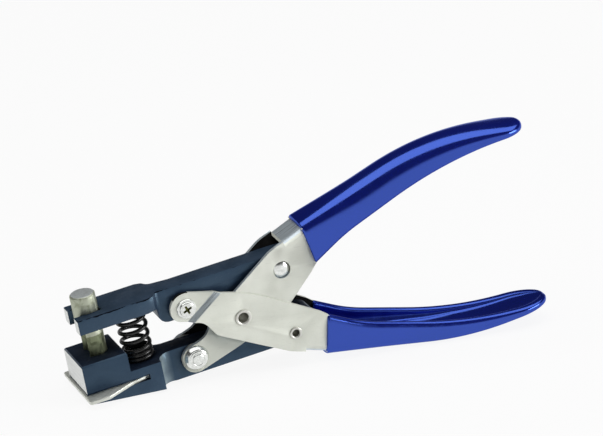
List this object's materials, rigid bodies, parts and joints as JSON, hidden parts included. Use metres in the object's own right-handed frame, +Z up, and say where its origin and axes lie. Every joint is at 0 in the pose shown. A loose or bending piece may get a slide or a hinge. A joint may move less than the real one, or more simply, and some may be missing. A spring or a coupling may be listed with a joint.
{
  "type": "hand-held card corner rounder",
  "caption": "Plier-type corner rounder for plastic cards: parallel jaws, round punch with a hollow front, die block, card guide plate, return spring and crossed handles with dipped grips.",
  "frame": {"origin": "centre of the bounding box at the height of the surface that the tool stands on, resting on the front edge of its base and the belly of the lower grip", "axes": "+X from the jaws to the handle ends, +Y across the tool away from the side with the screw head, +Z up"},
  "size_m": [0.179, 0.03, 0.0774],
  "materials": {
    "jaw_steel": "dark blue-grey stove enamel, satin, ground bare on the front faces",
    "plate_steel": "bright rolled steel sheet",
    "stop_steel": "blackened sheet steel",
    "screw_steel": "zinc plated",
    "spring_steel": "black oiled spring wire",
    "punch_steel": "turned and ground bare tool steel",
    "handle_steel": "zinc plated pressed sheet, satin",
    "grip_vinyl": "glossy royal blue dipped vinyl",
    "washer_steel": "plain washers",
    "pin_steel": "nickel plated turned pins",
    "rivet_steel": "zinc plated tubular rivets"
  },
  "bodies": {
    "lower_jaw": {"lower_jaw": "jaw_steel", "guide_plate": "plate_steel", "card_stop": "stop_steel", "guide_plate_screws": "screw_steel", "return_spring": "spring_steel"},
    "upper_handle": {"upper_handle": "handle_steel", "upper_grip": "grip_vinyl", "lower_jaw_rivet": "pin_steel", "lower_jaw_collars": "pin_steel", "lower_jaw_washers": "washer_steel", "upper_slide_pin": "pin_steel", "upper_slide_washers": "washer_steel"},
    "lower_handle": {"lower_handle": "handle_steel", "lower_grip": "grip_vinyl", "main_pivot_rivet": "rivet_steel", "upper_jaw_screw": "pin_steel", "upper_jaw_nut": "pin_steel", "upper_jaw_washers": "washer_steel", "lower_slide_rivet": "rivet_steel", "lower_slide_roller": "pin_steel"},
    "upper_jaw": {"upper_jaw": "jaw_steel", "punch": "punch_steel"}
  },
  "joints": [
    {"name": "lower_jaw_pivot", "type": "hinge", "parent": "lower_jaw", "child": "upper_handle", "pos_m": [-0.04631, 0, 0.00952], "axis": [0, 1, 0], "range_deg": [0, 12], "stiffness_Nm_per_rad": 2.93, "springref_deg": -11.69, "deforming": ["return_spring"]},
    {"name": "main_pivot", "type": "hinge", "parent": "upper_handle", "child": "lower_handle", "pos_m": [-0.02897, 0, 0.02206], "axis": [0, 1, 0], "range_deg": [-24, 0]},
    {"name": "upper_jaw_pivot", "type": "hinge", "parent": "lower_handle", "child": "upper_jaw", "pos_m": [-0.04942, 0, 0.02837], "axis": [0, 1, 0], "range_deg": [0, 12]}
  ],
  "couplings": [
    {"joint": "main_pivot", "follows": "lower_jaw_pivot", "ratio": -2},
    {"joint": "upper_jaw_pivot", "follows": "lower_jaw_pivot", "ratio": 1}
  ]
}
